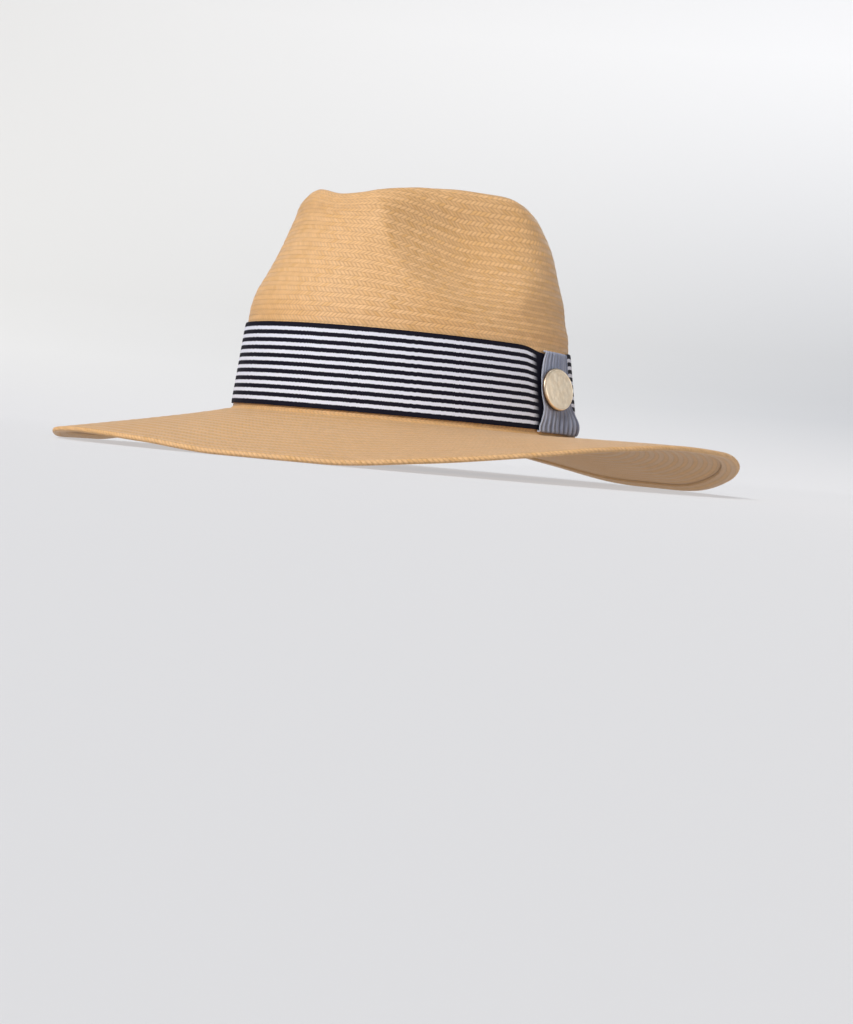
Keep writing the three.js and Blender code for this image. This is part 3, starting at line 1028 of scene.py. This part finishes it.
# ---- keeper --------------------------------------------------------------------------------------
KEEPER_PATH = [  # (distance from the crown, height) from behind the top edge to under the lower one
    (0.55, 44.75), (1.1, 45.05), (1.7, 45.05), (2.15, 44.75),
    (KEEPER_FACE, 44.1), (KEEPER_FACE, 42.5), (KEEPER_FACE, 1.2), (KEEPER_FACE, -0.3),
    (2.15, -0.95), (1.7, -1.25), (1.1, -1.25), (0.55, -0.95),
]
KEEPER_EDGE = [  # (height, inset of the front edge in degrees)
    (-2, -1.4), (1, -1.3), (5, 0), (9, 1.2), (13, 1.8),
    (20, 1.2), (30, 1.4), (36, 2.0), (40, 2.8), (46, 4.6),
]
KEEPER_ACROSS = 96
KEEPER_DOWN = 84
DEGREE = 1.53  # millimetres round the wall for each degree of bearing there


def keeper_spread(across, height, bearing, s):
    """How far the cloth stands off its path, and how deep in a crease each place lies, painted as
    shade.
    """
    low, high = near(height, 0, 9), near(height, BAND_HEIGHT, 7)
    from_badge = np.hypot((bearing - BADGE_AT) * DEGREE / 16, (height - BADGE_UP) / 13)
    free = smooth(0.75, 1.15, from_badge)  # the badge holds the cloth flat
    phase = across * s.folds * 2 * math.pi + 0.5 * np.sin(across * 9) + 0.25 * np.sin(height / 9)
    ridge = np.abs(np.cos(phase / 2)) ** 1.6
    pleat = (0.3 + 0.75 * low + 0.3 * high) * (ridge - 0.75) * free
    hem_roll = 0.35 * near(across, 0.035, 0.03) * free + 0.3 * near(across, 0.965, 0.03)
    flare = 4.2 * smooth(0.4, 1.0, across) * near(height, 4.5, 7.5)
    return np.clip(pleat + hem_roll + flare, -0.25, None), (1 - ridge) * (0.5 + 0.5 * low)


def build_keeper(s):
    """Pleated ribbon over the hatband and its two edges, flaring at its foot."""
    fresh_start()
    bpy.ops.mesh.primitive_grid_add(
        x_subdivisions=KEEPER_ACROSS, y_subdivisions=KEEPER_DOWN, size=2.0, calc_uvs=True
    )
    piece = named("ribbon_keeper")
    mesh = piece.data
    p = corners(mesh)
    across, down = (p[:, 0] + 1) / 2, (1 - p[:, 1]) / 2
    vertex = face_loops(mesh)[0]
    paint_uv(mesh, across[vertex], down[vertex])

    path = np.array(KEEPER_PATH, float)
    length = np.concatenate([[0], np.cumsum(np.linalg.norm(np.diff(path, axis=0), axis=1))])
    out = np.interp(down * length[-1], length, path[:, 0])
    height = np.interp(down * length[-1], length, path[:, 1])
    inset = eased(KEEPER_EDGE, np.maximum(height, 0.0))
    bearing = KEEPER_AT + mix(-KEEPER_HALF + inset, KEEPER_HALF, across)
    spread, deep = keeper_spread(across, height, bearing, s)
    # the crease depth is kept for the finish, which paints it as shade
    crease = mesh.attributes.new("crease", "FLOAT", "POINT")
    crease.data.foreach_set("value", deep.astype(np.float32))
    sag = 0.6 * smooth(0.5, 1.0, across) * near(height, 0, 9) + 2.6 * smooth(20, 44, height)
    front = smooth(1.6, 2.3, out)  # the turned-in ends stay as the path has them
    lay(mesh, beside_wall(bearing, height - sag, out + spread * front) * MM)
    turn_skin_out(piece)
    thicken(piece, s.thickness)
    soften(piece, 60)
    piece.data.materials.append(keeper_finish(s))
    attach(piece, "root")
    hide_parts("keeper")


# ---- badge ---------------------------------------------------------------------------------------
BADGE_PROFILE = [  # (share of the outline, share of the thickness) from the back to the face
    (0.80, 0.0), (0.94, 0.0), (0.975, 0.04), (0.995, 0.16), (1.0, 0.32),
    (0.998, 0.5), (0.985, 0.66), (0.965, 0.8), (0.94, 0.9), (0.918, 0.935),
    (0.9, 0.925), (0.885, 0.9), (0.872, 0.895), (0.855, 0.905), (0.84, 0.915),
]
FIELD_RINGS = 16  # rings of the field inside the rim
FIELD_DOME = 0.12  # how far the field rises to its middle, as a share of the thickness
HAMMER_MARKS = 70
WIDE, TALL, THICK = BADGE_WIDE / 2 * MM, BADGE_TALL / 2 * MM, BADGE_THICK * MM


def badge_reach(p):
    """Share of the outline at which each point of the lying badge stands."""
    return np.hypot(p[:, 0] / WIDE, p[:, 1] / TALL)


def badge_blank(turns):
    """The badge lying on its back, extruded ring by ring from the back over the rim."""
    fresh_start()
    bpy.ops.mesh.primitive_circle_add(vertices=turns, radius=1.0, fill_type="NOTHING")
    piece = named("oval_badge")
    profile = list(BADGE_PROFILE)
    rim_reach, rim_lift = profile[-1]
    for i in range(1, FIELD_RINGS):
        k = 1 - i / FIELD_RINGS
        profile.append((rim_reach * k, rim_lift + FIELD_DOME * (1 - k * k)))
    size, height = profile[0]
    open_for_edit(piece)
    bpy.ops.mesh.select_all(action="SELECT")
    bpy.ops.transform.resize(value=(WIDE * size, TALL * size, 1.0))
    for reach, lift in profile[1:]:
        extrude_up((lift - height) * THICK)
        bpy.ops.transform.resize(value=(reach / size, reach / size, 1.0))
        size, height = reach, lift
    extrude_up(0)
    bpy.ops.mesh.merge(type="CENTER")
    close_edit()

    mesh = piece.data
    p = corners(mesh)
    back_ring = (np.abs(p[:, 2]) < 1e-7) & (badge_reach(p) < 0.81)
    pick(mesh, edges=back_ring[edge_ends(mesh)].all(1))
    open_for_edit(piece)
    bpy.ops.mesh.edge_face_add()
    close_edit()
    return piece


def hammer_face(mesh, depth):
    """Shallow round dents all over the field inside the rim."""
    p = corners(mesh)
    draw = np.random.RandomState(5)
    field = (1 - smooth(0.76, 0.83, badge_reach(p))) * (p[:, 2] > 0.5 * THICK)
    dent = np.zeros(len(p))
    for _ in range(HAMMER_MARKS):
        angle, far = draw.uniform(0, 2 * math.pi), math.sqrt(draw.uniform(0, 1)) * 0.85
        x, y = math.cos(angle) * far * WIDE, math.sin(angle) * far * TALL
        broad = draw.uniform(1.0, 1.9) * MM
        strength = draw.uniform(0.5, 1.0)
        gap = ((p[:, 0] - x) ** 2 + (p[:, 1] - y) ** 2) / broad**2
        dent = np.maximum(dent, strength * np.exp(-gap))
    p[:, 2] -= depth * MM * dent * field
    lay(mesh, p)


def badge_place():
    """Where the badge sits: upright on the keeper, its rear side leaning off the wall."""

    def spot(bearing, height):
        return beside_wall(bearing, height, BADGE_BACK)

    tangent = Vector(spot(BADGE_AT + 1, BADGE_UP) - spot(BADGE_AT - 1, BADGE_UP)).normalized()
    up = Vector(spot(BADGE_AT, BADGE_UP + 1) - spot(BADGE_AT, BADGE_UP - 1))
    square = tangent.cross(up).normalized()
    rise = square.cross(tangent)
    lean = Matrix.Rotation(math.radians(-BADGE_LEAN), 3, rise)
    place = Matrix((lean @ tangent, rise, lean @ square)).transposed().to_4x4()
    place.translation = Vector(spot(BADGE_AT, BADGE_UP)) * MM
    return place


def build_badge(s):
    """Oval metal badge with a raised rim and a hammered field, on the keeper."""
    piece = badge_blank(s.turns)
    mesh = piece.data
    hammer_face(mesh, s.hammer)
    p = corners(mesh)
    vertex = face_loops(mesh)[0]
    paint_uv(mesh, p[vertex, 2] / THICK, badge_reach(p)[vertex])
    mesh.transform(badge_place())
    face_out(piece)
    soften(piece, 40)
    piece.data.materials.append(gold_finish(s))
    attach(piece, "root")
    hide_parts("badge")


# ---- stage ---------------------------------------------------------------------------------------
VIEW_AROUND = 56.0  # bearing of the viewer from the front of the hat
VIEW_ROLL = 5.15
VIEW_AIM = 27.8  # height of the aim point on the crown's axis
VIEW_SHIFT = (-12.0, 52.66)  # where that point lies from the middle of the view, millimetres
UP = Vector((0, 0, 1))
STAGE_DROP = 0.2  # how far the floor lies below the hat
FLOOR_RADIUS = 2.4  # metres
SWEEP_RADIUS = 1.4
SWEEP_STEPS = 12
WALL_HEIGHT = 0.4  # above the sweep


def add_to_scene(name, data):
    thing = bpy.data.objects.new(name, data)
    bpy.context.scene.collection.objects.link(thing)
    return thing


def disk_light(name, aim, way, size, power, colour):
    """Soft light from a disk, some way from the place that it lights."""
    data = bpy.data.lights.new(name, "AREA")
    data.shape = "DISK"
    data.size, data.energy, data.color = size, power, colour
    lamp = add_to_scene(name, data)
    lamp.location = aim + way
    lamp.rotation_euler = way.to_track_quat("Z", "Y").to_euler()


def broad_light(name, way, strength, spread, colour):
    """Even light from one side of the room."""
    data = bpy.data.lights.new(name, "SUN")
    data.energy, data.angle, data.color = strength, math.radians(spread), colour
    add_to_scene(name, data).rotation_euler = way.to_track_quat("Z", "Y").to_euler()


def view_axes(s):
    """The view's own directions: across to the right, upright, and back towards the viewer."""
    front, left = Vector((0, -1, 0)), Vector((1, 0, 0))
    around, rise, roll = (math.radians(a) for a in (VIEW_AROUND, s.rise, VIEW_ROLL))
    level = math.cos(around) * front + math.sin(around) * left
    back = math.cos(rise) * level + math.sin(rise) * UP
    right = math.cos(around) * left - math.sin(around) * front
    above = back.cross(right)
    across = math.cos(roll) * right + math.sin(roll) * above
    upright = math.cos(roll) * above - math.sin(roll) * right
    return across, upright, back


def build_camera(s):
    """A camera low before the wearer's left front, tilted sideways a little."""
    across, upright, back = view_axes(s)
    data = bpy.data.cameras.new("camera")
    data.lens = s.lens
    data.sensor_width = 36.0
    data.clip_start, data.clip_end = 0.01, 50.0
    camera = add_to_scene("camera", data)
    place = Matrix((across, upright, back)).transposed().to_4x4()
    shift = across * VIEW_SHIFT[0] * MM + upright * VIEW_SHIFT[1] * MM
    place.translation = UP * VIEW_AIM * MM + back * s.distance - shift
    camera.matrix_world = place
    bpy.context.scene.camera = camera


def build_floor(s):
    """A disc whose rim sweeps up into a tall round wall, so no corner shows."""
    fresh_start()
    bpy.ops.mesh.primitive_circle_add(
        vertices=96, radius=FLOOR_RADIUS, fill_type="NGON", location=(0, 0, -STAGE_DROP * MM)
    )
    floor = named("floor")
    bpy.ops.object.transform_apply(location=True, rotation=True, scale=True)
    open_for_edit(floor)
    bpy.ops.mesh.select_all(action="SELECT")
    bpy.ops.mesh.select_mode(type="EDGE")
    bpy.ops.mesh.region_to_loop()
    radius, height = FLOOR_RADIUS, 0.0
    for i in range(1, SWEEP_STEPS + 1):
        angle = math.radians(90 * i / SWEEP_STEPS)
        to_radius = FLOOR_RADIUS + SWEEP_RADIUS * math.sin(angle)
        to_height = SWEEP_RADIUS * (1 - math.cos(angle))
        extrude_up(to_height - height)
        bpy.ops.transform.resize(value=(to_radius / radius, to_radius / radius, 1))
        radius, height = to_radius, to_height
    extrude_up(WALL_HEIGHT)
    bpy.ops.mesh.select_all(action="SELECT")
    bpy.ops.mesh.normals_make_consistent(inside=True)
    close_edit()
    soften(floor)
    floor.data.materials.append(stage_finish(s))


def build_lights(s):
    """A broad key light from high on the left, a soft one above, and a low one from the right."""
    across, _, back = view_axes(s)
    key_way = (across * -0.6 + UP * 0.95 + back * 0.92).normalized()
    broad_light("key", key_way, s.key, 32, (1.0, 0.985, 0.96))
    overhead_way = (across * -0.15 + UP * 1.0 + back * -0.35).normalized()
    broad_light("overhead", overhead_way, s.overhead, 40, (1.0, 1.0, 1.0))
    low_way = (across * 1.0 + UP * 0.12 + back * 0.25).normalized()
    disk_light("low", Vector((0.1, 0.1, 0.01)), low_way * 0.9, 0.3, s.under, (1.0, 0.97, 0.93))
    world = bpy.data.worlds.new("room")
    world.use_nodes = True
    room = world.node_tree.nodes["Background"].inputs
    room["Color"].default_value = (0.97, 0.985, 1.0, 1.0)
    room["Strength"].default_value = s.sky
    bpy.context.scene.world = world
    bpy.context.scene.view_settings.view_transform = "Standard"


# ---- add-on --------------------------------------------------------------------------------------
class Maker:
    """What the operators share"""

    bl_options = {"REGISTER", "UNDO"}

    def execute(self, context):
        self.make(context.scene)
        return {"FINISHED"}


class AddStrawBody(Maker, bpy.types.Operator):
    """Weave the crown and the brim with its folded hem"""

    bl_idname = "fedora.add_straw_body"
    bl_label = "Straw Body"

    def make(self, scene):
        build_straw(scene.fedora_straw)


class AddHatband(Maker, bpy.types.Operator):
    """Wrap the striped ribbon round the crown"""

    bl_idname = "fedora.add_hatband"
    bl_label = "Hatband"

    def make(self, scene):
        build_hatband(scene.fedora_hatband)


class AddKeeper(Maker, bpy.types.Operator):
    """Fold the keeper over the hatband's join"""

    bl_idname = "fedora.add_keeper"
    bl_label = "Keeper"

    def make(self, scene):
        build_keeper(scene.fedora_keeper)


class AddBadge(Maker, bpy.types.Operator):
    """Fix the oval badge on the keeper"""

    bl_idname = "fedora.add_badge"
    bl_label = "Badge"

    def make(self, scene):
        build_badge(scene.fedora_badge)


class AddStage(Maker, bpy.types.Operator):
    """Set the hat on a pale floor under soft light, with a camera"""

    bl_idname = "fedora.add_stage"
    bl_label = "Stage"

    def make(self, scene):
        build_camera(scene.fedora_stage)
        build_floor(scene.fedora_stage)
        build_lights(scene.fedora_stage)


OPERATORS = (AddStrawBody, AddHatband, AddKeeper, AddBadge, AddStage)
SETTINGS = {
    "fedora_straw": StrawSettings,
    "fedora_hatband": HatbandSettings,
    "fedora_keeper": KeeperSettings,
    "fedora_badge": BadgeSettings,
    "fedora_stage": StageSettings,
}


class FedoraPanel(bpy.types.Panel):
    """Settings and makers of the fedora's pieces"""

    bl_idname = "VIEW3D_PT_fedora"
    bl_label = "Straw Fedora"
    bl_space_type = "VIEW_3D"
    bl_region_type = "UI"
    bl_category = "Fedora"

    def draw(self, context):
        for operator, name in zip(OPERATORS, SETTINGS):
            box = self.layout.box()
            box.operator(operator.bl_idname)
            group = getattr(context.scene, name)
            for setting in group.__annotations__:
                box.prop(group, setting)


CLASSES = (*SETTINGS.values(), *OPERATORS, FedoraPanel)


def register():
    for kind in CLASSES:
        bpy.utils.register_class(kind)
    for name, kind in SETTINGS.items():
        setattr(bpy.types.Scene, name, PointerProperty(type=kind))


def unregister():
    for name in SETTINGS:
        delattr(bpy.types.Scene, name)
    for kind in reversed(CLASSES):
        bpy.utils.unregister_class(kind)


def main():
    register()
    bpy.ops.fedora.add_stage()
    bpy.ops.fedora.add_straw_body()
    bpy.ops.fedora.add_hatband()
    bpy.ops.fedora.add_keeper()
    bpy.ops.fedora.add_badge()
    fresh_start()


if __name__ == "__main__":
    main()
